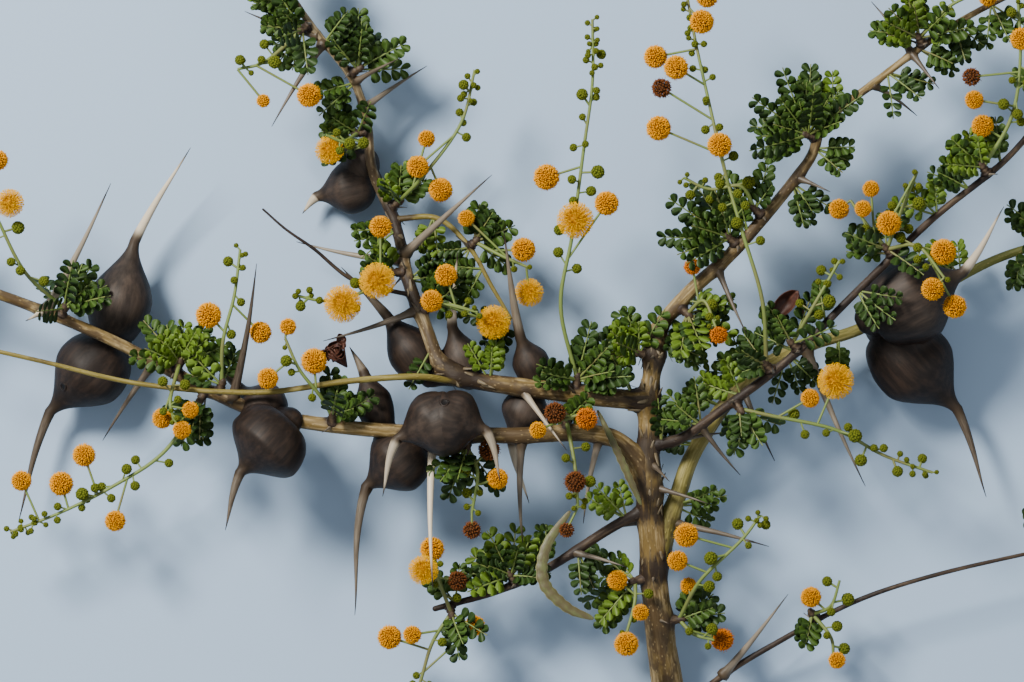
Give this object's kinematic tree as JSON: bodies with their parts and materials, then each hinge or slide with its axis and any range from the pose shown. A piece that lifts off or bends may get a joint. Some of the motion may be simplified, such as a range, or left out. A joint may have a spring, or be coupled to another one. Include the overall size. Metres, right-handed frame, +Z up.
{
  "type": "cut flowering acacia branch",
  "caption": "Cut branch of a swollen-thorn acacia lying flat, with forking boughs, paired spines, swollen dark galls, feathery leaf sprays and racemes of round yellow flower heads.",
  "frame": {"origin": "middle of the branch's outline as seen from above, on the level surface that it lies on", "axes": "+X from the tip of the left bough to the tips of the right ones, +Y from the cut end of the main stem towards the upper tips, +Z up from the surface"},
  "size_m": [0.4359, 0.2918, 0.0658],
  "materials": {
    "bark": "rough olive-brown bark",
    "gall": "hard dark grey-purple shell with fine streaks",
    "thorn": "smooth horn, ivory to purple-brown",
    "pod": "matt grey-green skin",
    "foliage": "satin green leaflets",
    "blossom": "soft golden stamens, orange-brown where withered"
  },
  "bodies": {
    "root": {"main_stem": "bark", "upper_right_bough": "bark", "middle_bough": "bark", "upper_left_bough": "bark", "left_bough": "bark", "right_bough": "bark", "right_thin_bough": "bark", "lower_left_bough": "bark", "lower_right_twig": "bark", "long_green_twig": "bark", "arching_twig": "bark", "dead_twig": "bark", "far_left_gall": "gall", "left_gall": "gall", "centre_left_gall": "gall", "front_gall": "gall", "elbow_gall": "gall", "centre_gall": "gall", "top_gall": "gall", "right_gall": "gall", "sickle_pod": "pod", "young_pod": "pod", "left_tip_spray": "foliage", "far_left_spray": "foliage", "left_middle_spray": "foliage", "left_upper_spray": "foliage", "left_galls_spray": "foliage", "left_lower_spray": "foliage", "under_left_spray": "foliage", "centre_blossom": "foliage", "top_tip_spray": "foliage", "top_left_spray": "foliage", "top_spray": "foliage", "top_gall_spray": "foliage", "upper_centre_spray": "foliage", "inner_left_spray": "foliage", "inner_right_spray": "foliage", "arch_spray": "foliage", "centre_raceme": "foliage", "fork_spray": "foliage", "stem_right_spray": "foliage", "curved_leaf_spray": "foliage", "bud_spray": "foliage", "great_leaf_spray": "foliage", "upper_right_spray": "foliage", "right_tip_spray": "foliage", "thin_bough_spray": "foliage", "tall_raceme": "foliage", "gall_blossom": "foliage", "right_end_spray": "foliage", "thin_tip_spray": "foliage", "gall_tip_spray": "foliage", "hanging_raceme": "foliage", "stem_lower_spray": "foliage", "stem_left_spray": "foliage", "lower_left_spray": "foliage", "lower_tip_spray": "foliage", "low_twig_spray": "foliage", "low_tip_spray": "foliage"}
  },
  "joints": []
}
